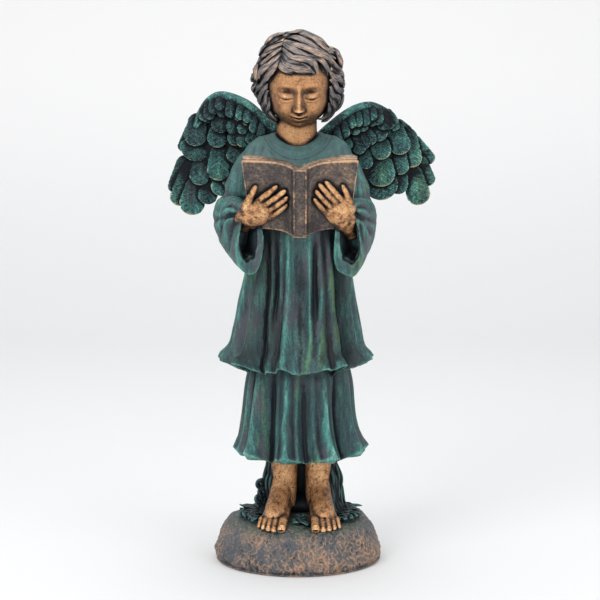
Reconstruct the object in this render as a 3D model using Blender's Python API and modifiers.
# Angel statue for a garden: a barefoot child angel stands on a boulder and reads an open book.
# It is one hollow resin casting in life, so it is one solid here. Metres, +Z up, the face looks along -Y,
# and the origin is the middle of the flat underside.
import math

import bmesh
import bpy
import numpy as np
from mathutils import Matrix, Vector
from mathutils.bvhtree import BVHTree

# Driving sizes, in metres
statue_height = 0.840
rock_width = 0.266
rock_depth = 0.246
rock_height = 0.072
figure_shift = 0.0025  # the figure stands this far to +X of the rock's middle
skin_voxel = 0.0019  # the grain of the skin that fuses the forms into one
triangle_budget = 9600

# The figure's forms are shares of its own height above the rock, in percent, with x from its middle. The
# locks on the crown rise a little above 100.
crown_top = 100.18
figure_height = (statue_height - rock_height) * 100 / crown_top
foot_sink = 0.4


def body(points):
    """Percent of the figure's height, measured from the top of the rock, to metres."""
    return np.asarray(points, float) * figure_height / 100 + (figure_shift, 0, rock_height)


def curve_through(guides, count):
    """count rows along a smooth (Catmull-Rom) curve through the guide rows."""
    rows = np.asarray(guides, float)
    padded = np.vstack([2 * rows[0] - rows[1], rows, 2 * rows[-1] - rows[-2]])
    place = np.linspace(0, len(rows) - 1, count)
    start = np.minimum(place.astype(int), len(rows) - 2)
    t = (place - start)[:, None]
    a, b, c, d = (padded[start + k] for k in range(4))
    return 0.5 * (2 * b + (c - a) * t + (2 * a - 5 * b + 4 * c - d) * t**2 + (3 * b - a - 3 * c + d) * t**3)


def unit(vectors):
    return vectors / np.maximum(np.linalg.norm(vectors, axis=-1, keepdims=True), 1e-12)


def bell(x, width):
    """A smooth bump, 1 at x = 0."""
    return np.exp(-((x / width) ** 2))


def step_up(x, start, end):
    """0 before start, 1 after end, smooth between."""
    t = np.clip((x - start) / (end - start), 0, 1)
    return t * t * (3 - 2 * t)


def turned(points, x=0.0, y=0.0, z=0.0):
    """Points turned about the origin by degrees round x, then y, then z."""
    about_x = Matrix.Rotation(math.radians(x), 3, "X")
    about_y = Matrix.Rotation(math.radians(y), 3, "Y")
    about_z = Matrix.Rotation(math.radians(z), 3, "Z")
    return np.asarray(points, float) @ np.array(about_z @ about_y @ about_x).T


class Clay:
    """Closed shells that overlap, gathered before they are fused into one skin."""

    def __init__(self):
        self.points = []
        self.faces = []
        self.finish = []
        self.used = 0

    def loft(self, rings, finish):
        """A skin through rings of points, closed at both ends by a fan to the ring's middle."""
        count, around = rings.shape[:2]
        first = count * around
        last = first + 1
        start = self.used
        for j in range(around):
            k = (j + 1) % around
            self.faces.append((start + first, start + k, start + j))
            end = start + (count - 1) * around
            self.faces.append((start + last, end + j, end + k))
            for i in range(count - 1):
                low = start + i * around
                high = low + around
                self.faces.append((low + j, low + k, high + k, high + j))
        self.finish += [finish] * (len(self.faces) - len(self.finish))
        self.points.append(np.vstack([rings.reshape(-1, 3), rings[0].mean(0), rings[-1].mean(0)]))
        self.used += first + 2

    def ball(self, centre, radii, finish, around=16):
        """An ellipsoid."""
        self.loft(body(np.asarray(centre) + globe(around) * radii), finish)

    def tube(self, guides, finish, rows=8, sides=8, flat=1.0, facing=(0.0, -1.0, 0.0)):
        """A limb, lock or leaf: guides are x, y, z and half width in percent, flat is its thickness
        over its width, and facing is the direction that the flat side looks."""
        line = curve_through(guides, rows)
        path = line[:, :3]
        half = np.maximum(line[:, 3:4], 0.02)[:, None]
        along = unit(np.gradient(path, axis=0))
        across = unit(np.cross(along, np.broadcast_to(facing, (rows, 3))) + 1e-6)
        up = unit(np.cross(across, along))
        turn = np.linspace(0, 2 * math.pi, sides, endpoint=False)[None, :, None]
        section = np.cos(turn) * across[:, None] + flat * np.sin(turn) * up[:, None]
        self.loft(body(path[:, None] + half * section), finish)


def globe(around):
    """Rings of a unit sphere from its foot to its top."""
    rise = np.linspace(-math.pi / 2, math.pi / 2, around // 2 + 3)[1:-1, None]
    turn = np.linspace(0, 2 * math.pi, around, endpoint=False)
    return np.stack([np.cos(rise) * np.sin(turn), -np.cos(rise) * np.cos(turn), np.sin(rise) + 0 * turn], -1)


# Cloth

# Each fold is its angle at the top and at the hem, in degrees from straight ahead with +X positive, its half
# width in degrees, its height in percent (a valley's is negative), and the heights where it starts and ends.
tunic_folds = (
    (-88, -93, 8, 1.2, 58, 0), (-72, -76, 4, 1.2, 62, 0), (-43, -46, 7, 2.3, 60, 0),
    (-32, -27, 2.4, 0.7, 64, 40), (-9, -11, 5, 1.8, 66, 0), (12, 12, 3, 1.2, 64, 38),
    (27, 24, 5, 1.2, 62, 0), (36, 36, 4, 2.2, 64, 0), (58, 60, 5, 1.7, 60, 0), (76, 80, 6, 1.2, 60, 0),
    (94, 97, 8, 1.3, 58, 0), (118, 118, 8, 1.5, 62, 0), (142, 142, 8, 1.2, 62, 0),
    (165, 165, 7, 1.6, 64, 0), (190, 190, 8, 1.4, 64, 0), (214, 214, 8, 1.6, 62, 0),
    (240, 240, 8, 1.4, 62, 0), (-58, -62, 5, -2.2, 62, 0), (-38, -31, 3.4, -1.6, 62, 14),
    (-27, -22, 2.4, -1.8, 62, 44), (2, 4, 7, -0.9, 62, 0), (21, 20, 3.2, -1.7, 62, 45),
    (47, 47, 4, -2.5, 62, 0), (68, 70, 4, -1.1, 60, 0), (-15, -16, 2.5, -0.6, 60, 30),
    (-19, -19, 3, -0.4, 50, 20),
)
skirt_folds = (
    (-82, -88, 9, 1.1, 38, 0), (-68, -72, 5, 1.0, 38, 0), (-49, -51, 7, 1.8, 38, 0),
    (-12, -13, 6, 1.9, 38, 0), (27, 29, 6, 2.1, 38, 0), (66, 70, 8, 1.4, 38, 0), (90, 94, 8, 1.4, 38, 0),
    (122, 122, 10, 1.8, 38, 0), (156, 156, 10, 1.9, 38, 0), (190, 190, 10, 1.9, 38, 0),
    (224, 224, 10, 1.8, 38, 0), (250, 250, 8, 1.4, 38, 0), (-32, -33, 6, -1.7, 38, 0),
    (7, 7, 7, -1.2, 38, 0), (49, 52, 5, -1.9, 38, 0), (-2, -2, 3, 0.5, 38, 0), (16, 17, 3, 0.4, 38, 0),
    (-60, -62, 3, -0.7, 38, 0), (-23, -24, 3, 0.4, 38, 0),
)


def fold_wave(angle, z, folds):
    """How far the cloth stands out at each angle and height."""
    degrees = np.degrees(angle)
    wave = 0 * degrees + 0 * z
    for top_angle, hem_angle, width, height, start, end in folds:
        middle = top_angle + (hem_angle - top_angle) * np.clip((start - z) / 30, 0, 1)
        away = (degrees - middle + 180) % 360 - 180
        grown = step_up(-z, -start, 14 - start) * step_up(z, end - 6, end + 4)
        wave = wave + height * grown * bell(away, width)
    return wave


def gown_rings(sections, folds, rows, around):
    """A gown from rows of height, middle x, half width, front depth, back depth, fold strength and how far
    the ring dips in front, in percent. Each ring is an ellipse that the folds move in and out."""
    angle = np.linspace(-math.pi, math.pi, around, endpoint=False)
    table = curve_through(sections, rows)
    z, middle, wide, front, back, strength, dip = (table[:, i : i + 1] for i in range(7))
    wave = strength * fold_wave(angle, z, folds)
    deep = np.where(np.cos(angle) > 0, front, back)
    hang = 0.48 * wave * step_up(strength, 1.0, 1.4) - dip * np.clip(np.cos(angle), 0, 1) ** 1.5
    return np.stack([middle + (wide + wave) * np.sin(angle), -(deep + wave) * np.cos(angle), z + hang], -1)


tunic_sections = (
    (79.2, -0.6, 3.9, 3.7, 4.2, 0.0, 2.3), (79.2, -0.5, 5.2, 4.9, 5.5, 0.0, 2.7),
    (78.4, -0.3, 8.3, 6.4, 6.9, 0.0, 3.3), (76.6, -0.4, 10.4, 7.2, 7.7, 0.0, 2.4),
    (74.0, -0.4, 11.0, 7.8, 8.2, 0.0, 0.9), (68.0, -0.5, 10.2, 8.0, 8.2, 0.3, 0.0),
    (61.0, -0.5, 10.2, 8.3, 8.0, 0.8, 0.0), (54.0, -0.4, 10.3, 8.6, 8.3, 0.9, 0.0),
    (49.0, -0.4, 10.6, 8.9, 8.6, 0.9, 0.0), (44.0, -0.6, 11.3, 9.5, 9.2, 0.9, 0.0),
    (39.5, -0.6, 12.1, 10.3, 10.0, 0.95, 0.0), (36.0, -0.7, 12.8, 11.2, 10.8, 1.05, 0.0),
    (33.8, -1.0, 13.9, 12.3, 12.0, 1.30, 0.0), (32.2, -0.9, 14.4, 13.0, 12.7, 1.55, 0.0),
)
tunic_lining = (
    (31.9, -0.9, 13.7, 12.3, 12.0, 1.45, 0.0), (33.6, -1.0, 12.2, 10.9, 10.6, 1.1, 0.0),
    (34.4, -1.0, 7.5, 7.5, 7.5, 0.0, 0.0),
)
skirt_sections = (
    (36.0, -0.3, 9.4, 8.4, 8.4, 0.5, 0.0), (30.0, -0.3, 10.2, 8.8, 8.8, 0.8, 0.0),
    (24.3, -0.4, 10.4, 9.2, 9.1, 0.95, 0.0), (20.0, -0.4, 10.8, 9.8, 9.6, 1.05, 0.0),
    (16.4, -0.2, 11.4, 10.6, 10.3, 1.20, 0.0), (13.5, 0.0, 12.4, 11.5, 11.2, 1.40, 0.0),
)
skirt_lining = (
    (13.1, 0.0, 11.8, 10.9, 10.5, 1.1, 0.0), (14.6, 0.0, 10.0, 9.2, 9.0, 0.7, 0.0),
    (15.4, 0.0, 6.5, 6.5, 6.5, 0.0, 0.0),
)
collar_sections = (
    (79.1, -0.6, 4.1, 4.1, 4.5, 0.0, 2.2), (79.4, -0.55, 4.5, 4.5, 4.9, 0.0, 2.3),
    (79.4, -0.5, 5.0, 5.1, 5.5, 0.0, 2.6), (79.1, -0.45, 5.7, 5.8, 6.1, 0.0, 3.0),
    (78.8, -0.4, 6.2, 6.3, 6.6, 0.0, 3.3), (78.3, -0.4, 6.1, 6.2, 6.5, 0.0, 3.3),
)


def add_gown(clay, sections, lining, folds, rows):
    around = 180
    outside = gown_rings(sections, folds, rows, around)
    inside = gown_rings(lining, folds, 5, around)
    clay.loft(body(np.concatenate([outside, inside])), "robe")


def add_collar(clay):
    """The neckband, a strip that lies proud on the shoulders and dips in front."""
    clay.loft(body(gown_rings(collar_sections, (), 12, 60)), "robe")


# Sleeves: rows of centre x (outwards), y, z, and half width and half height of the section, in percent
sleeve_rows = {
    -1: (
        (6.6, 0.8, 74.2, 3.0, 3.2), (9.3, 0.9, 72.6, 3.4, 3.7), (11.2, 1.0, 69.3, 3.4, 3.6),
        (12.5, 0.8, 66.2, 3.2, 3.4), (13.9, -0.4, 63.4, 3.7, 4.3), (13.4, -4.0, 61.4, 3.4, 5.4),
        (12.0, -7.4, 60.1, 3.0, 6.2), (10.9, -9.9, 59.3, 2.9, 6.7), (9.9, -12.6, 58.9, 2.8, 7.0),
    ),
    1: (
        (6.2, 0.8, 73.8, 3.0, 3.2), (8.3, 0.9, 72.2, 3.4, 3.7), (10.0, 1.0, 69.0, 3.3, 3.6),
        (11.2, 0.8, 66.0, 3.1, 3.4), (12.0, -0.4, 63.2, 3.4, 4.3), (11.8, -4.0, 61.2, 3.4, 5.5),
        (10.9, -7.4, 59.9, 2.9, 6.3), (10.1, -9.9, 59.0, 2.9, 6.8), (9.5, -12.4, 58.6, 2.9, 7.1),
    ),
}
cuff_slant = 3.4  # how much further back the top of the cuff's mouth lies than its bottom
square_corner = {-1: 0.25, 1: 0.9}  # how square the outer lower corner of the cuff is


def sleeve_rings(side, rows, around, shrink=0.0):
    """Rings square to the arm's path. A ring is an egg that hangs below the arm, and shallow creases
    run round it at the elbow and along it to the cuff."""
    table = curve_through(sleeve_rows[side], rows)
    path = table[:, :3] * (side, 1, 1)
    along = unit(np.gradient(path, axis=0))
    level = unit(np.cross(along, [0, 0, 1.0]))
    upright = unit(np.cross(level, along))
    share = np.linspace(0, 1, rows)[:, None]
    turn = np.linspace(0, 2 * math.pi, around, endpoint=False)
    crease = 0.09 * np.sin(26 * share) * bell(share - 0.42, 0.12) * (1.2 + np.cos(turn))
    crease = crease + 0.03 * np.cos(5 * turn + 2.0) * step_up(share, 0.45, 0.8)
    # Below the arm the section is squarer, and the wall is thicker below and towards the body.
    under = np.clip(-np.cos(turn), 0, 1)
    inner = step_up(side * np.sin(turn), -0.3, 0.5)
    square = (np.abs(np.sin(turn)) ** 2.8 + np.abs(np.cos(turn)) ** 2.8) ** (-1 / 2.8)
    corner = square_corner[side]
    square = 1 + (square - 1) * under**0.5 * (corner + (1 - corner) * inner)
    wall = shrink + (shrink > 0) * (1.6 * under**2 + 0.6 * inner) * step_up(share, 0.6, 0.95)
    egg = (1 - 0.16 * share * np.cos(turn)) * (1 + crease) * square
    across = (table[:, 3:4] - np.minimum(wall, 1.6)) * np.sin(turn) * egg
    high = (table[:, 4:5] - wall) * np.cos(turn) * (1 + crease) * square
    rings = path[:, None] + across[..., None] * level[:, None] + high[..., None] * upright[:, None]
    rings[..., 1] += cuff_slant * step_up(share, 0.72, 1.0) * np.clip(np.cos(turn) + 0.15, 0, 1)
    return rings


def add_sleeve(clay, side):
    rows = 30
    outside = sleeve_rings(side, rows, 40)
    inside = sleeve_rings(side, rows, 40, shrink=0.7)[::-1][:8]
    clay.loft(body(np.concatenate([outside, inside])), "robe")


# Book: it leans forward at the top, and its covers sweep back from the spine. Percent of the figure.
book_lean = 25.0  # degrees
book_height = 15.4
spine_foot = (0.0, -13.0, 59.6)
spine_half = 1.15
spine_rim = 0.28
cover_half = (9.9, 11.5)  # at the foot and at the head
cover_sweep = 3.6
cover_thick = 0.55
# Thickness of the block of pages at shares of the way from the gutter to the fore edge
page_shares = (0, 0.08, 0.25, 0.45, 0.75, 0.92, 1)
page_thick = (1.8, 2.5, 1.9, 1.75, 2.6, 2.8, 2.3)
page_inset = 0.22


def cover_depth(x):
    """How far the covers lie behind the spine's face, at a distance x from the middle."""
    return cover_sweep * (1 - np.exp(-np.maximum(np.abs(x) - spine_half, 0) / 2.1))


def book_point(x, v, depth):
    """x across, v up the spine from its foot and depth back towards the reader, to the figure."""
    x, v, depth = np.broadcast_arrays(x, v, depth)
    return turned(np.stack([x, depth, v], -1), x=book_lean) + spine_foot


def cover_front(x, z):
    """y of the cover's outer face at x and height z."""
    lean = math.radians(book_lean)
    depth = cover_depth(x)
    v = (z - spine_foot[2] - depth * math.sin(lean)) / math.cos(lean)
    return spine_foot[1] - v * math.sin(lean) + depth * math.cos(lean)


def add_book(clay):
    for start, end in ((-1, -0.1), (-0.12, 0.12), (0.1, 1)):
        across = np.linspace(start, end, 14)
        pages = np.interp(np.abs(across), page_shares, page_thick)
        for inset, near, thick in ((0.0, 0.0, cover_thick), (page_inset, cover_thick / 2, pages)):
            v = np.linspace(inset, book_height - inset, 5)[:, None]
            x = across * (np.interp(v, (0, book_height), cover_half) - inset)
            front = book_point(x, v, cover_depth(x) + near)
            back = book_point(x, v, cover_depth(x) + near + thick)
            clay.loft(body(np.concatenate([front, back[:, ::-1]], axis=1)), "book")
    # The spine's panel is edged with a raised rim on both sides.
    for x in (-spine_half, spine_half):
        line = book_point(np.full(4, x), np.linspace(0, book_height, 4), 0.0)
        clay.tube(np.hstack([line, np.full((4, 1), spine_rim)]), "book", rows=4, sides=8)


# Hands: x and z of the forearm, the wrist, the knuckles and the fingertips, index finger first, as seen
# from the front
hands = {
    -1: {
        "forearm": (-11.0, 61.2),
        "wrist": (-10.9, 62.9),
        "knuckles": ((-8.2, 67.1), (-7.2, 66.1), (-6.3, 65.0), (-5.6, 63.8)),
        "tips": ((-4.5, 70.1), (-2.8, 69.3), (-2.4, 68.0), (-2.5, 66.5)),
        "thumb": ((-10.6, 65.6), (-9.7, 68.0), (-8.6, 70.3)),
    },
    1: {
        "forearm": (10.4, 59.6),
        "wrist": (9.2, 62.3),
        "knuckles": ((8.4, 67.1), (7.3, 66.5), (6.2, 65.7), (5.2, 64.7)),
        "tips": ((5.0, 71.0), (3.7, 70.6), (3.0, 69.3), (2.7, 67.7)),
        "thumb": ((9.9, 65.2), (9.4, 67.8), (8.3, 70.5)),
    },
}
finger_half = (0.66, 0.68, 0.64, 0.56)
palm_half = (1.5, 2.2, 2.6, 2.55, 2.1)
palm_flat = (0.80, 0.62, 0.42, 0.30, 0.25)  # thickness over width, forearm to finger roots


def add_hand(clay, side):
    """The palm is a flattening tube, round in the cuff and as thin as the fingers at their roots."""
    hand = hands[side]
    x, z = hand["wrist"]
    wrist = np.array([x, cover_front(x, 64) + 0.5, z])
    x, z = hand["forearm"]
    forearm = np.array([x, cover_front(x, 64) + 3.4, z])
    knuckles = np.array([(x, cover_front(x, z) - 0.62, z) for x, z in hand["knuckles"]])
    middle = knuckles.mean(0)
    away = unit(middle - wrist)
    back = unit(np.cross(knuckles[0] - knuckles[-1], middle - wrist))
    back = back * np.sign(-back[1])
    way = (
        forearm, wrist, wrist * 0.45 + middle * 0.55 + back * 0.35, middle,
        middle + away * 0.8 - back * 0.15,
    )
    palm = np.hstack([np.array(way), np.array(palm_half)[:, None]])
    flat = np.interp(np.linspace(0, 4, 16), range(5), palm_flat)[:, None, None]
    clay.tube(palm, "skin", rows=16, sides=14, flat=flat, facing=back)
    for (x, z), knuckle, half in zip(hand["tips"], knuckles, finger_half):
        tip = np.array([x, cover_front(x, z) - 0.38, z])
        root = knuckle + (knuckle - tip) * 0.25 - back * 0.15
        bend = knuckle * 0.5 + tip * 0.5 + back * 0.30
        end = tip + (tip - bend) * 0.1
        finger = ((*root, half), (*bend, half), (*tip, half * 0.84), (*end, 0.2))
        clay.tube(finger, "skin", rows=10, facing=back)
    (x0, z0), (x1, z1), (x2, z2) = hand["thumb"]
    root = np.array([x0, cover_front(x0, z0) - 0.3, z0])
    joint = np.array([x1, cover_front(x1, z1) - 0.6, z1])
    tip = np.array([x2, cover_front(x2, z2) - 0.35, z2])
    base = root * 0.5 + middle * 0.25 + wrist * 0.25
    end = tip + (tip - joint) * 0.12
    thumb = ((*base, 1.1), (*root, 1.15), (*joint, 0.72), (*tip, 0.55), (*end, 0.2))
    clay.tube(thumb, "skin", rows=12, facing=back)


# Head
head_middle = (-0.2, -2.2, 90.0)
head_radii = (6.95, 7.4, 9.2)  # half width, half depth, half height
head_bow = 16.0  # degrees


def face_relief(x, z):
    """How far the face stands forward of the plain head, for x and z in half heights of the head.
    The eyes are at mid height and an eye's width apart, the nose ends half way from there to the
    chin, and the mouth is a third of the way below it. The lids are lowered."""
    side = np.abs(x)
    eye = 0.29
    relief = -0.085 * bell(side - eye + 0.05, 0.17) * bell(z + 0.05, 0.12)
    relief += 0.080 * bell(side - eye, 0.125) * bell(z + 0.105, 0.085)
    relief -= 0.030 * bell(z + 0.175 - 1.2 * (side - eye) ** 2, 0.018) * bell(side - eye, 0.13)
    relief += 0.024 * bell(side - 0.30, 0.20) * bell(z - 0.12 + 0.5 * (side - 0.30) ** 2, 0.06)
    relief += 0.080 * bell(side - 0.36, 0.21) * bell(z + 0.44, 0.20)
    slope = np.clip((0.04 - z) / 0.44, 0, 1)
    bridge = step_up(z, -0.47, -0.39) * bell(np.maximum(z, 0), 0.16)
    relief += (0.050 + 0.150 * slope**1.5) * bell(x, 0.062 + 0.030 * slope) * bridge
    relief += 0.060 * bell(side - 0.090, 0.045) * bell(z + 0.39, 0.05)
    relief += 0.060 * bell(x, 0.24) * bell(z + 0.60, 0.14)
    lips = z - 0.7 * x**2
    relief += 0.045 * bell(x, 0.115) * bell(lips + 0.555, 0.034)
    relief += 0.052 * bell(x, 0.10) * bell(lips + 0.640, 0.036)
    relief -= 0.055 * bell(x, 0.14) * bell(lips + 0.597, 0.018)
    relief -= 0.026 * bell(x, 0.13) * bell(z + 0.735, 0.035)
    relief += 0.070 * bell(x, 0.18) * bell(z + 0.86, 0.12)
    return relief


def bowed(points):
    """Points about the head's middle, bowed forward with the head."""
    return turned(points, x=head_bow) + head_middle


def add_head(clay):
    plain = globe(96)
    x, y, z = np.moveaxis(plain, -1, 0)
    # The cheeks and the chin are fuller than an egg's lower half.
    low = np.clip(-z, 0, 1)
    fuller = np.sqrt(np.clip(1 - low**3.2, 0.0, 1)) / np.sqrt(np.clip(1 - low**2, 1e-4, 1))
    jaw = fuller * (1 - 0.23 * low**2)
    deep = fuller * np.where(y < 0, 0.93, 1.05)
    head = np.stack([x * jaw, y * deep, np.where(z > 0, 0.92, 1) * z], -1) * head_radii
    front = np.clip(-1.6 * y, 0, 1)
    tall = head_radii[2]
    head[..., 1] -= front * tall * face_relief(head[..., 0] / tall, head[..., 2] / tall)
    clay.loft(body(bowed(head)), "skin")
    neck = ((-0.4, 1.2, 72.0, 4.6), (-0.5, 0.7, 76.0, 4.4), (-0.7, 0.3, 80.0, 4.15), (-0.7, -0.4, 85.0, 4.2))
    clay.tube(neck, "skin", rows=10, sides=20)
    for side in (-1, 1):
        clay.ball(bowed((side * 6.4, 0.4, -3.0)), (0.7, 1.3, 1.7), "skin", around=12)


# Hair: it falls both ways from a parting on the -X side, in locks that lie on an egg round the skull.
hair_radii = (7.7, 8.4, 8.2)
hair_middle = (0.1, 1.3, 0.6)  # from the head's middle, before it bows
# How low the hair reaches at each azimuth, in shares of the egg, from the brow to the nape
edge_azimuth = (0, 30, 45, 62, 75, 90, 135, 180)
edge_height = (0.42, 0.36, 0.24, -0.05, -0.85, -1.06, -1.08, -1.05)
# Locks seen from the front: half width, then azimuth, height and lift of five guides each
front_locks = (
    (0.77, (-133, 0.91, 0.6), (-168, 0.95, 0.6), (143, 0.92, 0.4), (117, 0.82, 0.4), (105, 0.64, 0.4)),
    (0.90, (-135, 0.90, 0.3), (176, 0.95, 0.3), (68, 0.92, 0.5), (68, 0.72, 0.6), (100, 0.49, 0.6)),
    (0.99, (61, 0.67, -0.1), (101, 0.53, 0.3), (98, 0.42, 0.9), (95, 0.29, 1.0), (93, 0.17, 1.0)),
    (0.81, (-131, 0.89, -0.1), (-18, 0.99, 0.3), (35, 0.90, 0.4), (50, 0.73, 0.6), (76, 0.49, 0.8)),
    (0.86, (-78, 0.92, -0.1), (-10, 0.90, 0.3), (24, 0.80, 0.6), (50, 0.63, 0.9), (79, 0.19, 1.2)),
    (0.77, (-63, 0.89, -0.1), (-16, 0.83, 0.3), (14, 0.72, 0.4), (41, 0.60, 0.6), (50, 0.28, 0.9)),
    (0.71, (-50, 0.83, -0.1), (-19, 0.72, 0.3), (7, 0.66, 0.7), (24, 0.56, 0.8), (28, 0.35, 0.8)),
    (0.64, (-43, 0.76, -0.1), (-19, 0.63, 0.3), (2, 0.59, 0.3), (15, 0.51, 0.4), (23, 0.37, 0.6)),
    (0.73, (-38, 0.67, -0.1), (-24, 0.54, 0.3), (-7, 0.50, 0.5), (8, 0.47, 0.5), (20, 0.40, 0.5)),
    (0.69, (60, 0.36, -0.1), (79, 0.19, 0.3), (90, 0.03, 0.9), (88, -0.09, 0.9), (89, -0.16, 1.0)),
    (0.77, (58, 0.27, -0.1), (66, 0.10, 0.3), (89, -0.13, 0.9), (88, -0.22, 1.0), (87, -0.39, 0.6)),
    (0.73, (56, 0.14, -0.1), (62, -0.07, 0.3), (80, -0.30, 0.9), (86, -0.46, 0.6), (68, -0.52, 0.4)),
    (0.64, (55, -0.05, -0.1), (59, -0.28, 0.3), (72, -0.47, 0.7), (82, -0.66, 0.5), (79, -0.79, 0.3)),
    (0.60, (55, -0.27, -0.1), (56, -0.47, 0.3), (64, -0.63, 0.5), (78, -0.82, 0.4), (59, -0.83, 0.2)),
    (0.56, (53, -0.47, -0.1), (53, -0.63, 0.3), (56, -0.77, 0.3), (45, -0.83, 0.2), (36, -0.83, 0.1)),
    (0.77, (-132, 0.90, 0.7), (-120, 0.84, 1.2), (-112, 0.76, 1.5), (-106, 0.66, 1.4), (-102, 0.56, 1.2)),
    (0.81, (-129, 0.89, 0.3), (-115, 0.80, 0.6), (-107, 0.67, 0.9), (-102, 0.55, 1.3), (-98, 0.41, 1.4)),
    (0.73, (-104, 0.91, -0.1), (-111, 0.74, 0.3), (-103, 0.58, 0.6), (-98, 0.42, 0.8), (-95, 0.28, 0.9)),
    (0.86, (-70, 0.89, -0.1), (-78, 0.74, 0.3), (-98, 0.49, 0.6), (-95, 0.28, 0.8), (-91, 0.13, 1.8)),
    (0.77, (-54, 0.83, -0.1), (-60, 0.66, 0.3), (-71, 0.47, 0.3), (-93, 0.19, 0.6), (-90, 0.06, 1.3)),
    (0.77, (-44, 0.74, -0.1), (-49, 0.58, 0.3), (-57, 0.41, 0.6), (-69, 0.22, 0.8), (-70, 0.07, 1.0)),
    (0.69, (-39, 0.66, -0.1), (-42, 0.49, 0.3), (-47, 0.34, 0.4), (-55, 0.18, 0.5), (-61, -0.00, 0.6)),
    (0.73, (-36, 0.61, -0.1), (-30, 0.52, 0.3), (-21, 0.46, 0.3), (-12, 0.46, 0.3), (-5, 0.48, 0.3)),
    (0.73, (-80, 0.25, -0.1), (-90, 0.10, 0.9), (-88, -0.00, 1.6), (-88, -0.15, 1.2), (-88, -0.26, 1.8)),
    (0.77, (-70, 0.21, -0.1), (-88, -0.04, 0.3), (-88, -0.15, 1.0), (-88, -0.26, 1.7), (-86, -0.43, 1.1)),
    (0.69, (-64, 0.15, -0.1), (-71, -0.09, 0.3), (-87, -0.34, 1.2), (-86, -0.46, 0.9), (-83, -0.63, 0.6)),
    (0.64, (-59, 0.03, -0.1), (-63, -0.22, 0.3), (-77, -0.47, 0.9), (-83, -0.63, 0.6), (-79, -0.79, 0.4)),
    (0.60, (-57, -0.16, -0.1), (-58, -0.39, 0.3), (-68, -0.62, 0.6), (-78, -0.83, 0.4), (-56, -0.83, 0.2)),
    (0.56, (-55, -0.34, -0.1), (-56, -0.58, 0.3), (-63, -0.78, 0.3), (-61, -0.89, 0.2), (-50, -0.93, 0.1)),
    (0.51, (-91, 0.10, 0.4), (-89, 0.05, 1.4), (-89, -0.06, 1.9), (-89, -0.03, 1.9), (-90, 0.06, 1.9)),
)
# A full lock beside each cheek closes the gap between the hair and the jaw. These begin with their side.
cheek_locks = (
    (-1, 1.0, (66, -0.10, -0.4), (66, -0.35, -0.2), (62, -0.60, -0.1), (56, -0.80, 0.0), (50, -0.95, 0.1)),
    (-1, 1.0, (76, -0.30, 0.0), (76, -0.55, 0.2), (72, -0.80, 0.2), (64, -0.98, 0.2), (56, -1.05, 0.2)),
    (1, 1.0, (66, -0.10, -0.4), (66, -0.35, -0.2), (62, -0.60, -0.1), (54, -0.80, 0.0), (46, -0.92, 0.1)),
    (1, 1.0, (76, -0.30, 0.0), (76, -0.55, 0.2), (72, -0.80, 0.2), (62, -0.96, 0.1), (52, -1.02, 0.1)),
)
back_locks = 9
crown = (-150, 0.95)
# Wavy side locks: side, azimuths of the columns, heights of the rows, length and half width
side_locks = (
    (-1, (100, 114, 128, 142), (0.34, 0.04, -0.28, -0.60), 0.56, 1.05),
    (1, (106, 120, 134, 148), (0.28, -0.02, -0.34, -0.64), 0.52, 1.0),
)


def egg_way(azimuth, height):
    """Direction on the hair's egg for an azimuth in degrees and a height in shares. It is fuller below
    its middle than above."""
    heading = np.radians(azimuth)
    above = np.sqrt(np.clip(1 - np.square(height), 0, 1))
    below = np.sqrt(np.clip(1 - (np.abs(height) / 1.3) ** 3, 0, 1))
    reach = np.where(np.asarray(height) > 0, above, below)
    return np.stack(np.broadcast_arrays(np.sin(heading) * reach, -np.cos(heading) * reach, height), -1)


def on_egg(azimuth, height, lift):
    """Points lift percent outside the egg, before the head bows."""
    return egg_way(azimuth, height) * (np.asarray(hair_radii) + np.asarray(lift)[..., None]) + hair_middle


def add_lock(clay, path, half):
    facing = turned(unit(path - hair_middle), x=head_bow)
    shape = half * np.interp(np.linspace(0, 1, len(path)), (0, 0.25, 0.75, 1), (0.45, 1, 0.95, 0.25))
    guides = np.hstack([bowed(path), shape[:, None]])
    clay.tube(guides, "hair", rows=len(path), sides=10, flat=0.62, facing=facing)


def add_sweep(clay, start, end, bulge, half, phase):
    """A lock that bulges sideways on its way, waves, and flicks out at its end."""
    t = np.linspace(0, 1, 16)[:, None]
    root = egg_way(*start)
    tip = egg_way(*end)
    way = unit(root * (1 - t) + tip * t)
    sideways = unit(np.cross(way, tip - root))
    wave = 0.055 * np.sin(2 * math.pi * (1.6 * t + phase)) * np.sqrt(t)
    way = unit(way + sideways * (bulge * np.sin(math.pi * t) + wave))
    lift = 0.1 + 0.3 * math.cos(6 * phase) * np.sin(math.pi * t) + 1.6 * np.maximum(t - 0.75, 0)
    add_lock(clay, way * (np.asarray(hair_radii) + lift) + hair_middle, half)


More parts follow.
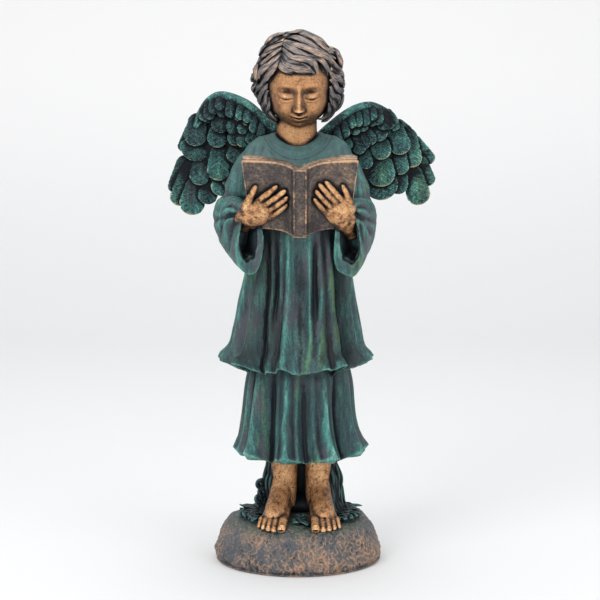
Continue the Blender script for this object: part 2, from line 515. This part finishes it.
def add_hair(clay):
    turn = np.linspace(-180, 180, 56, endpoint=False)
    low = np.interp(np.abs(turn), edge_azimuth, edge_height)
    share = np.sin(np.linspace(0, math.pi / 2, 24))[:, None]
    cap = on_egg(turn, low + (0.995 - low) * share, -0.35 - 1.1 * bell(share, 0.09))
    clay.loft(body(bowed(cap)), "hair")
    for half, *guides in front_locks:
        azimuth, height, lift = np.array(guides, float).T
        add_lock(clay, curve_through(on_egg(azimuth, height, lift), 14), half)
    for side, half, *guides in cheek_locks:
        azimuth, height, lift = np.array(guides, float).T
        add_lock(clay, curve_through(on_egg(side * azimuth, height, lift), 14), half)
    for i in range(back_locks):
        azimuth = 112 + 136 * i / (back_locks - 1)
        low = -0.98 + 0.16 * (i % 2)
        add_sweep(clay, crown, (azimuth, low), 0.06 * math.cos(2 * i), 1.7, 0.37 * i)
    t = np.linspace(0, 1, 12)
    for side, columns, rows, length, half in side_locks:
        for i, azimuth in enumerate(columns):
            for j, height in enumerate(rows):
                seed = 3.1 * i + 5.3 * j + side
                swing = 8 * math.sin(seed) + 9 * np.sin(2 * math.pi * (1.1 * t + 0.31 * seed)) * np.sqrt(t)
                drop = length * (1 + 0.2 * math.cos(seed))
                proud = 0.7 + 0.3 * math.sin(2 * seed) + 1.3 * np.maximum(t - 0.6, 0)
                start = height + 0.30 + 0.05 * math.sin(4 * seed)
                path = on_egg(side * (azimuth + swing), np.minimum(start - drop * t, 0.6), proud)
                add_lock(clay, path, half * (1 + 0.2 * math.cos(3 * seed)))


# Wings: each arm is x, z and half thickness, from the shoulder blade out to the wrist and down
wing_arms = {
    -1: (
        (-2.5, 76.6, 1.4), (-5.6, 79.7, 1.4), (-8.7, 82.4, 1.3), (-11.6, 84.6, 1.3), (-15.9, 85.9, 1.4),
        (-18.4, 84.9, 1.4), (-20.3, 82.4, 1.2), (-21.7, 79.8, 1.0),
    ),
    1: (
        (2.5, 76.2, 1.3), (5.2, 78.8, 1.3), (8.5, 81.5, 1.3), (11.3, 83.2, 1.3), (14.3, 83.9, 1.3),
        (16.9, 82.8, 1.4), (18.9, 81.2, 1.4), (20.0, 79.4, 1.0),
    ),
}
# Each long feather: x and z of its root and of its tip, half width, and its layer from the wing's middle
long_feathers = {
    -1: (
        (-22.6, 80.3, -24.8, 74.5, 1.2, 0), (-24.2, 73.6, -26.7, 65.8, 1.5, 0),
        (-22.6, 72.7, -25.9, 63.2, 1.96, 1), (-21.3, 69.1, -23.2, 61.4, 2.54, 2),
        (-18.6, 68.2, -19.8, 63.7, 2.01, 1), (-15.8, 69.3, -17.2, 65.6, 2.01, 1.2),
        (-13.6, 71.5, -14.9, 67.1, 1.71, 0.6), (-20.5, 73.4, -21.1, 67.7, 2.05, 2.6),
        (-21.2, 77.0, -22.8, 72.9, 3.11, 3), (-16.4, 76.2, -17.2, 68.8, 2.32, 3.2),
        (-13.3, 76.0, -13.9, 72.6, 1.61, 2.2), (-21.1, 82.5, -22.1, 75.9, 2.25, 4.4),
        (-17.0, 80.1, -17.3, 75.7, 2.01, 4.4), (-12.4, 80.2, -14.0, 76.3, 1.61, 4.4),
        (-10.5, 80.2, -12.4, 76.0, 1.42, 4), (-8.9, 80.2, -10.6, 76.6, 1.35, 3.4),
        (-17.9, 84.9, -19.9, 81.1, 2.01, 5.6), (-16.2, 82.6, -16.4, 78.8, 2.10, 5.6),
        (-12.8, 82.1, -14.4, 78.7, 1.52, 5.2), (-10.8, 81.7, -12.3, 78.7, 1.22, 4.8),
        (-15.4, 85.0, -16.4, 82.1, 1.47, 6.4), (-13.7, 84.6, -14.5, 82.0, 1.17, 6.2),
        (-12.0, 83.6, -13.0, 81.4, 1.08, 6), (-10.3, 82.4, -11.3, 80.5, 0.98, 5.6),
        (-8.9, 81.3, -9.6, 79.3, 0.93, 5.2),
    ),
    1: (
        (20.4, 81.2, 23.2, 78.7, 0.7, 0), (23.3, 77.8, 27.8, 72.0, 1.4, 0),
        (25.0, 73.6, 27.4, 67.3, 1.5, 0.6), (23.0, 71.7, 25.5, 63.4, 2.4, 1),
        (15.9, 71.5, 17.9, 64.7, 3.37, 0.6), (21.0, 70.7, 20.1, 65.8, 2.07, 1.4),
        (22.5, 79.4, 23.7, 71.3, 2.00, 2), (20.6, 75.1, 21.1, 69.9, 1.74, 2.8),
        (16.8, 73.7, 17.0, 67.5, 2.83, 2.6), (13.5, 75.5, 13.7, 71.3, 1.48, 3),
        (19.3, 80.6, 21.5, 74.2, 2.13, 4.2), (16.8, 77.7, 16.7, 73.2, 2.13, 4.2),
        (10.8, 78.5, 12.9, 74.6, 1.35, 4.4), (9.0, 78.4, 10.3, 75.5, 1.04, 4),
        (7.8, 80.0, 8.8, 77.5, 0.87, 4.4), (12.2, 79.2, 13.9, 75.7, 1.17, 5),
        (13.4, 79.8, 15.2, 76.5, 1.30, 5.4), (15.8, 81.0, 16.7, 77.1, 1.74, 5.8),
        (17.5, 82.7, 17.5, 79.5, 1.70, 6.4), (17.6, 83.2, 19.6, 80.1, 1.4, 6.6),
        (9.6, 81.3, 9.9, 78.5, 0.83, 5.4), (10.9, 82.0, 11.5, 78.5, 1.13, 5.8),
        (12.7, 82.3, 13.0, 79.2, 1.22, 6.2), (14.5, 83.0, 14.9, 80.2, 1.30, 6.4),
    ),
}
layer_step = 0.42
feather_half_thick = 0.38
small_feathers = 9  # under the arm of each wing
# Lower edge of the plate that the feathers lie on: x and z
plate_edge = {
    -1: (
        (-8.0, 75.5), (-12.0, 70.5), (-16.0, 68.0), (-20.5, 66.5), (-24.0, 68.5), (-24.5, 73.5),
        (-22.6, 79.0),
    ),
    1: ((8.0, 75.0), (12.0, 70.5), (16.0, 67.5), (20.0, 69.5), (24.3, 70.0), (24.8, 74.0), (21.6, 79.0)),
}


def wing_plane(x, z, proud):
    """x and z as seen from the front, and how far it stands proud of the wing's middle towards the
    front. The wing sweeps back as it goes out, and cups forward at its lower edge."""
    return np.stack(np.broadcast_arrays(x, 5.5 + 0.30 * np.abs(x) - 0.02 * (80 - z) - proud, z), -1)


def add_feather(clay, root, tip, half, proud):
    """A petal: narrow at the root, widest past its middle, and round at the tip."""
    length = math.dist(root, tip)
    t = np.sin(np.linspace(0, math.pi / 2, 12))
    shoulder = 1 - min(0.6, 0.95 * half / length)
    wide = 1.05 * half * (0.8 + 0.2 * step_up(t, 0, shoulder))
    wide = wide * np.sqrt(1 - np.clip((t - shoulder) / (1 - shoulder), 0, 0.995) ** 2)
    line = np.outer(1 - t, root) + np.outer(t, tip)
    lift = proud + (1 if proud >= 0 else -1) * (1.0 * t - 0.75)
    path = wing_plane(line[:, 0], line[:, 1], lift)
    across = np.array([root[1] - tip[1], 0, tip[0] - root[0]]) / length
    turn = np.linspace(0, 2 * math.pi, 12, endpoint=False)[None, :, None]
    thick = feather_half_thick * np.clip(wide / half, 0.3, 1)[:, None, None]
    rings = path[:, None] + wide[:, None, None] * np.cos(turn) * across + thick * np.sin(turn) * (0, 1, 0)
    clay.loft(body(rings), "wing")


def add_wing(clay, side):
    arm = curve_through(wing_arms[side], 26)
    path = wing_plane(arm[:, 0], arm[:, 1], 0.9)
    clay.tube(np.hstack([path, arm[:, 2:3]]), "wing", rows=26, sides=12, flat=1.15)
    high = curve_through(wing_arms[side][1:], 20)[:, :2]
    low = curve_through(plate_edge[side], 20)
    turn = np.linspace(0, 2 * math.pi, 16, endpoint=False)
    flat = (high + low)[:, None] / 2 + (high - low)[:, None] / 2 * np.cos(turn)[:, None]
    plate = wing_plane(flat[..., 0], flat[..., 1], 0.0) + (0.8 * np.sin(turn))[:, None] * np.array([0, 1, 0])
    clay.loft(body(plate), "wing")
    for x, z, tip_x, tip_z, half, layer in long_feathers[side]:
        add_feather(clay, (x, z), (tip_x, tip_z), half, layer * layer_step)
        if layer < 4:
            add_feather(clay, (x, z), (tip_x, tip_z), half, -(layer + 0.6) * layer_step)
    under = curve_through(wing_arms[side][1:-1], small_feathers + 2)[1:-1]
    for i, (x, z, _) in enumerate(under):
        root = (x + 0.4 * side, z + 0.3)
        tip = (x + side * (1.0 - 0.1 * i), z - 3.0 - 0.5 * math.sin(2.1 * i))
        add_feather(clay, root, tip, 0.95 + 0.05 * i, 6.9 * layer_step)


# Legs and feet: ankle x, and how far the foot turns outwards in degrees
legs = {-1: (-3.25, 10), 1: (3.75, 6)}
foot_length = 16.6
toe_drop = 0.75  # the toes curl this far down over the rock's shoulder
toe_half = (0.86, 0.62, 0.58, 0.54, 0.48)
toe_short = (0.0, 0.2, 0.7, 1.4, 2.2)  # how far each toe falls short of the big toe
# Sections of the foot: x outwards, y from the heel, z, half width and half height
foot_sections = (
    (0.0, 0.2, 1.3, 1.0, 1.0), (0.0, -1.0, 1.7, 1.9, 1.9), (0.0, -4.0, 2.0, 2.3, 2.3),
    (0.0, -8.1, 1.7, 2.6, 1.9), (0.0, -10.6, 1.2, 2.85, 1.35), (0.0, -12.2, 1.0, 2.8, 1.0),
    (0.0, -13.1, 0.8, 2.4, 0.6),
)
# The instep fills the bend between the shin and the foot: y from the heel, z and half width
instep = (
    (-2.2, 12.0, 1.7), (-2.8, 8.0, 1.9), (-4.2, 5.2, 2.1), (-6.4, 3.6, 2.2), (-9.2, 2.3, 2.3),
    (-11.3, 1.4, 2.1), (-12.4, 1.0, 1.6),
)
heel_y = 2.6


def add_leg(clay, side):
    ankle, heading = legs[side]
    shin = (
        (ankle, 0.4, 21.0, 3.3), (ankle, 0.4, 13.0, 2.9), (ankle, 0.5, 8.0, 2.7), (ankle, 0.6, 4.0, 2.55),
        (ankle, 0.6, 1.6, 2.4),
    )
    clay.tube(shin, "skin", rows=12, sides=14)

    def placed(points):
        points = np.array(points, float) * (side, 1, 1)
        points[..., 2] -= toe_drop * step_up(-points[..., 1], 8, foot_length)
        return turned(points, z=heading * side) + (ankle, heel_y, 0)

    angle = np.linspace(0, 2 * math.pi, 18, endpoint=False)
    x, y, z, half, tall = (column[:, None] for column in curve_through(foot_sections, 16).T)
    height = np.maximum(z + tall * np.sin(angle), -foot_sink)
    rings = np.stack([x + half * np.cos(angle), y + 0 * angle, height], -1)
    clay.loft(body(placed(rings)), "skin")
    ridge = [(*placed((0.1, y, z)), half) for y, z, half in instep]
    clay.tube(ridge, "skin", rows=12, sides=14, flat=0.8, facing=(0, -0.6, 0.8))
    across = -3.0
    for half, short in zip(toe_half, toe_short):
        across += half
        start = placed((across * 0.92, -10.8, 1.3))
        end = placed((across * 1.04, -foot_length + 0.6 + short + half * 0.7, half * 0.8))
        knuckle = start * 0.5 + end * 0.5 + (0, 0, 0.55)
        point = end + (end - start) * 0.14 - (0, 0, 0.1)
        toe = ((*start, half * 0.9), (*knuckle, half * 0.95), (*end, half), (*point, half * 0.35))
        clay.tube(toe, "skin", rows=10)
        across += half * 0.98


# Rock: shares of the half width and of the height, from the underside up the side to the middle of the top
rock_profile = (
    (0.0, 0.0), (0.90, 0.0), (0.965, 0.06), (0.995, 0.16), (0.995, 0.28), (0.965, 0.44), (0.93, 0.62),
    (0.875, 0.80), (0.79, 0.94), (0.62, 1.0), (0.35, 1.01), (0.05, 1.0),
)
# Lumps: waves round the rock, waves up it, height in metres, and shift
rock_waves = (
    (3, 18, 0.0016, 0.4), (5, 35, 0.0013, 1.9), (8, 22, 0.0012, 4.1), (13, 60, 0.0010, 2.2),
    (19, 41, 0.0009, 5.3), (27, 95, 0.0007, 0.9),
)


def add_rock(clay):
    around = 96
    profile = curve_through(rock_profile, 34)
    profile[0] = (0.01, 0.0)
    angle = np.linspace(0, 2 * math.pi, around, endpoint=False)
    share = profile[:, :1]
    high = np.clip(profile[:, 1:], 0, 1.02) * rock_height
    lumps = 0 * high + 0 * angle
    for turns, rises, size, shift in rock_waves:
        twist = np.cos(turns // 2 * angle - shift)
        lumps += size * np.sin(turns * angle + shift + rises * high / rock_height) * twist
    lumps *= step_up(high, 0.0, 0.008) * np.clip(1.5 * share, 0, 1)
    wide = share * rock_width / 2 + lumps
    deep = share * rock_depth / 2 + lumps
    on_top = step_up(high, 0.8 * rock_height, rock_height)
    skin = np.stack([wide * np.sin(angle), -deep * np.cos(angle), high + 0.5 * lumps * on_top], -1)
    clay.loft(skin, "rock")


# Leaves: the tuft behind the legs that ties the gown to the rock, and the leaves round the feet
tuft_blades = 15
leaf_thick = 0.5


def add_growth(clay):
    clay.ball((0.6, 6.0, 8.0), (5.4, 3.2, 9.5), "leaf")
    clay.ball((0.6, 4.6, 1.4), (7.9, 5.0, 2.6), "leaf")
    for i in range(tuft_blades):
        heading = math.radians(-112 + 224 * i / (tuft_blades - 1))
        out = np.array([math.sin(heading), 0.5 * math.cos(heading) + 0.2, 0])
        base = np.array([0.8, 4.8, 0]) + out * (7.0, 4.6, 0)
        sway = 0.9 * math.sin(2.4 * i)
        half = 1.2 + 0.25 * math.cos(1.7 * i)
        blade = (
            (*(base + (0, 0, 15.5) - out * 2.6), 0.4),
            (*(base + (0.4 * sway, 0, 10.0) - out * 1.6), half),
            (*(base + (-0.5 * sway, 0, 5.0) + out * 0.4), half),
            (*(base + out * 1.6 + (0, 0, 0.7)), 0.8 * half),
            (*(base + out * 3.6 + (sway, 0, -0.3)), 0.4),
        )
        clay.tube(blade, "leaf", rows=10, flat=leaf_thick / half, facing=out)
    # Strands hang beside the legs: x at the hem, at mid height and on the rock.
    for side, top, middle, foot in ((-1, -5.6, -7.4, -7.7), (1, 6.2, 8.0, 8.5)):
        for share in (0.0, 0.5, 1.0):
            inwards = -side * 1.9 * share
            strand = (
                (top + 0.6 * inwards, 3.4 - 3.2 * share, 14.5, 0.7),
                (middle + inwards, 2.4 - 2.8 * share, 7.0, 0.9),
                (foot + inwards, 1.4 - 3.2 * share, 1.6, 0.9),
                (foot + side, 0.6 - 3.6 * share, 0.1, 0.5),
            )
            clay.tube(strand, "leaf", rows=12, flat=0.8, facing=(side, -1, 0))
    # The scroll on the -X side
    turn = np.linspace(0, 1.7 * math.pi, 9)[:, None]
    curl_x = -7.4 - 1.2 * np.cos(turn)
    curl_z = 4.6 + 1.5 * np.sin(turn)
    clay.tube(np.hstack([curl_x, 3.0 + 0 * turn, curl_z, 0.95 - 0.04 * turn]), "leaf", rows=14)
    clay.ball((-7.3, 3.6, 3.6), (1.7, 1.2, 3.0), "leaf")
    # Low leaves: root x, y and tip x, y, half width, and how high the tip lifts
    for x, y, tip_x, tip_y, half, lift in (
        (-6.5, 1.0, -12.2, -2.2, 1.6, 1.6), (-6.0, -1.5, -10.4, -6.0, 1.5, 0.2),
        (0.6, -2.0, 0.2, -8.6, 1.5, 0.3), (1.0, -4.0, 2.6, -10.6, 1.3, 0.1),
        (7.6, 0.5, 11.6, -3.0, 1.6, 0.3), (8.4, 2.5, 12.6, 1.0, 1.5, 0.2),
    ):
        leaf = (
            (x, y, 0.5, 0.6), ((x * 2 + tip_x) / 3, (y * 2 + tip_y) / 3, 0.6, half),
            ((x + tip_x * 2) / 3, (y + tip_y * 2) / 3, 0.2, half), (tip_x, tip_y, lift - 0.4, 0.25),
        )
        clay.tube(leaf, "leaf", rows=10, flat=0.35, facing=(0, 0, 1))


def evaluated(model):
    """The model's mesh as its modifiers leave it."""
    bpy.context.view_layer.update()
    return bpy.data.meshes.new_from_object(model.evaluated_get(bpy.context.evaluated_depsgraph_get()))


def new_model(name, mesh):
    model = bpy.data.objects.new(name, mesh)
    bpy.context.collection.objects.link(model)
    return model


def largest_shell(mesh):
    """Deletes every loose shell of the mesh but the one with the most faces, and splits it into triangles."""
    skin = bmesh.new()
    skin.from_mesh(mesh)
    left = set(skin.faces)
    shells = []
    while left:
        edge = [left.pop()]
        shell = set(edge)
        while edge:
            around = (near for side in edge.pop().edges for near in side.link_faces)
            for near in around:
                if near in left:
                    left.remove(near)
                    shell.add(near)
                    edge.append(near)
        shells.append(shell)
    largest = max(shells, key=len)
    spare = [face for shell in shells if shell is not largest for face in shell]
    bmesh.ops.delete(skin, geom=spare, context="FACES")
    bmesh.ops.triangulate(skin, faces=skin.faces[:])
    skin.to_mesh(mesh)
    skin.free()


def fused(clay):
    """One closed skin over all the shells, cut down to the triangle budget."""
    mesh = bpy.data.meshes.new("clay")
    mesh.from_pydata(np.concatenate(clay.points).tolist(), [], clay.faces)
    forms = new_model("forms", mesh)
    skin = forms.modifiers.new("skin", "REMESH")
    skin.mode = "VOXEL"
    skin.voxel_size = skin_voxel
    whole = evaluated(forms)
    bpy.data.objects.remove(forms)
    largest_shell(whole)
    statue = new_model("angel_statue", whole)
    reduce = statue.modifiers.new("reduce", "DECIMATE")
    reduce.ratio = triangle_budget / len(whole.polygons)
    light = evaluated(statue)
    statue.modifiers.clear()
    statue.data = light
    return statue


def flatten_foot(statue):
    """Cuts the skin off at z = 0, so that the underside is one flat face."""
    cut = bmesh.new()
    cut.from_mesh(statue.data)
    everything = cut.verts[:] + cut.edges[:] + cut.faces[:]
    bmesh.ops.bisect_plane(
        cut, geom=everything, dist=1e-6, plane_co=(0, 0, 0), plane_no=(0, 0, -1), clear_outer=True
    )
    rim = [edge for edge in cut.edges if edge.is_boundary]
    bmesh.ops.contextual_create(cut, geom=rim)
    bmesh.ops.recalc_face_normals(cut, faces=cut.faces[:])
    cut.to_mesh(statue.data)
    cut.free()


# Each finish: colour, roughness and metallic
finishes = {
    "robe": ((0.050, 0.165, 0.150, 1), 0.55, 0.35),
    "wing": ((0.030, 0.110, 0.100, 1), 0.55, 0.35),
    "leaf": ((0.020, 0.090, 0.075, 1), 0.60, 0.30),
    "skin": ((0.420, 0.200, 0.085, 1), 0.38, 0.80),
    "hair": ((0.120, 0.075, 0.055, 1), 0.45, 0.60),
    "book": ((0.095, 0.060, 0.045, 1), 0.50, 0.55),
    "rock": ((0.085, 0.060, 0.050, 1), 0.60, 0.45),
}


def add_finishes(statue, clay):
    """Gives each face the finish of the form that it came from."""
    tree = BVHTree.FromPolygons([Vector(p) for p in np.concatenate(clay.points)], clay.faces)
    names = list(finishes)
    for name, (colour, roughness, metallic) in finishes.items():
        material = bpy.data.materials.new(name)
        material.use_nodes = True
        shader = material.node_tree.nodes["Principled BSDF"]
        shader.inputs["Base Color"].default_value = colour
        shader.inputs["Roughness"].default_value = roughness
        shader.inputs["Metallic"].default_value = metallic
        statue.data.materials.append(material)
    for face in statue.data.polygons:
        nearest = tree.find_nearest(face.center)[2]
        face.material_index = names.index(clay.finish[nearest])


def main():
    for old in list(bpy.data.objects):
        bpy.data.objects.remove(old)
    clay = Clay()
    add_rock(clay)
    add_growth(clay)
    add_gown(clay, tunic_sections, tunic_lining, tunic_folds, 48)
    add_gown(clay, skirt_sections, skirt_lining, skirt_folds, 28)
    add_collar(clay)
    add_book(clay)
    add_head(clay)
    add_hair(clay)
    for side in (-1, 1):
        add_leg(clay, side)
        add_sleeve(clay, side)
        add_hand(clay, side)
        add_wing(clay, side)
    statue = fused(clay)
    flatten_foot(statue)
    add_finishes(statue, clay)
    collection = bpy.data.collections.new("angel_statue")
    bpy.context.scene.collection.children.link(collection)
    for holder in list(statue.users_collection):
        holder.objects.unlink(statue)
    collection.objects.link(statue)


main()
